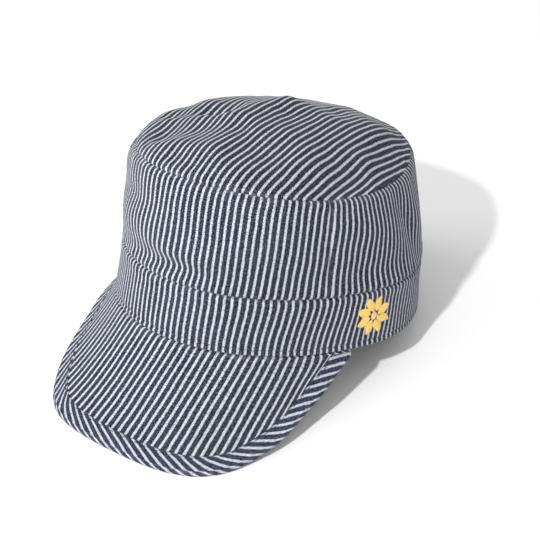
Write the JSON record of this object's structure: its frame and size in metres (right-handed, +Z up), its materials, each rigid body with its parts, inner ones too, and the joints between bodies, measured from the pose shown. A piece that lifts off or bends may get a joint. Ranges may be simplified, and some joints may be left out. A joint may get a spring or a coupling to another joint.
{
  "type": "striped work cap",
  "caption": "Flat-topped work cap of striped cloth with a straight band, a soft crown and a stiff curved peak edged with a bias strip.",
  "frame": {"origin": "middle of the cap's box, on the surface that the cap rests on", "axes": "+Z up, the peak toward -Y, the wearer's left toward +X"},
  "size_m": [0.1696, 0.256, 0.1386],
  "materials": {
    "crown_cloth": "matte hickory stripe twill, dark navy with narrow pale stripes",
    "band_cloth": "matte hickory stripe twill, stripes upright",
    "peak_cloth": "matte hickory stripe twill, stripes front to back",
    "binding_cloth": "matte hickory stripe twill, cut on the bias"
  },
  "bodies": {
    "root": {"crown_top": "crown_cloth", "crown_front": "crown_cloth", "crown_back": "crown_cloth", "band": "band_cloth", "peak": "peak_cloth", "peak_binding": "binding_cloth"}
  },
  "joints": []
}
